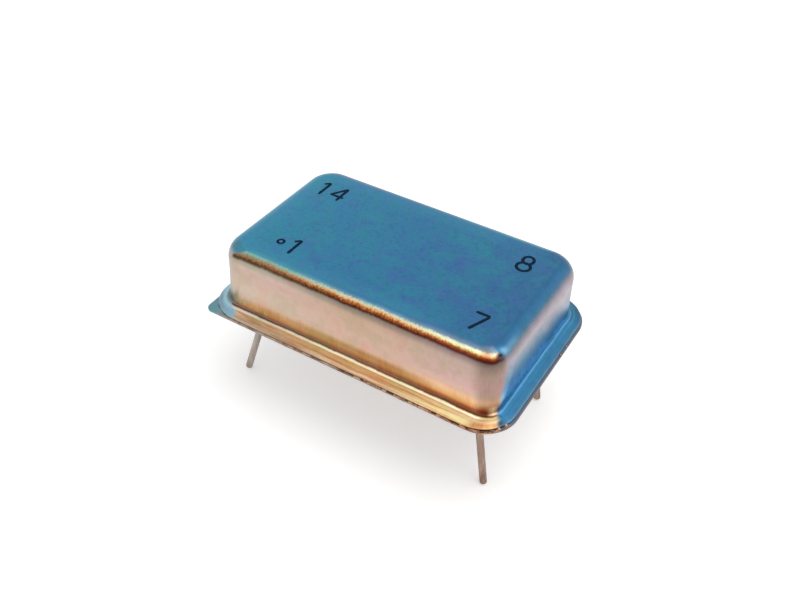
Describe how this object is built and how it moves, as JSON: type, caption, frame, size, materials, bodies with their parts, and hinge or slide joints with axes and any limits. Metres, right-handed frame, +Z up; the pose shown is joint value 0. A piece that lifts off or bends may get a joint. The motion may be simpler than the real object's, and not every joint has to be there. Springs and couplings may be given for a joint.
{
  "type": "crystal oscillator",
  "caption": "Full-size metal-can clock oscillator with a welded drawn lid, a header with glass-sealed pins, and the quartz blank and chip circuit inside.",
  "frame": {"origin": "middle of the four-pin pattern, at the plane of the pin tips", "axes": "+X along the can from pins 1 and 14 to pins 7 and 8, +Y across it from pins 1 and 7 to pins 14 and 8, +Z up through the lid"},
  "size_m": [0.0206, 0.0132, 0.0107],
  "materials": {
    "lid_nickel": "satin",
    "header_nickel": "satin",
    "seal_glass": "gloss",
    "braze": "satin",
    "pin_metal": "satin",
    "alumina": "matte",
    "conductor_film": "satin",
    "resistor_film": "matte",
    "solder": "satin",
    "quartz": "satin",
    "electrode_silver": "gloss",
    "clip_metal": "satin",
    "conductive_cement": "matte",
    "silicon": "gloss",
    "gold_wire": "gloss",
    "capacitor_ceramic": "satin"
  },
  "bodies": {
    "root": {"lid": "lid_nickel", "header": "header_nickel", "glass_seal_1": "seal_glass", "glass_seal_8": "seal_glass", "glass_seal_14": "seal_glass", "ground_braze": "braze", "pin_1": "pin_metal", "pin_7": "pin_metal", "pin_8": "pin_metal", "pin_14": "pin_metal", "spacer_washer_1": "alumina", "spacer_washer_7": "alumina", "spacer_washer_8": "alumina", "spacer_washer_14": "alumina", "ceramic_substrate": "alumina", "printed_conductors": "conductor_film", "printed_resistor": "resistor_film", "pin_solder_1": "solder", "pin_solder_7": "solder", "pin_solder_8": "solder", "pin_solder_14": "solder", "quartz_blank": "quartz", "upper_electrode": "electrode_silver", "lower_electrode": "electrode_silver", "crystal_clip_left": "clip_metal", "crystal_clip_right": "clip_metal", "crystal_cement_left": "conductive_cement", "crystal_cement_right": "conductive_cement", "oscillator_chip": "silicon", "chip_adhesive": "conductive_cement", "bond_wires": "gold_wire", "bypass_capacitor": "capacitor_ceramic", "bypass_capacitor_ends": "solder", "load_capacitor_1": "capacitor_ceramic", "load_capacitor_1_ends": "solder", "load_capacitor_2": "capacitor_ceramic", "load_capacitor_2_ends": "solder"}
  },
  "joints": []
}
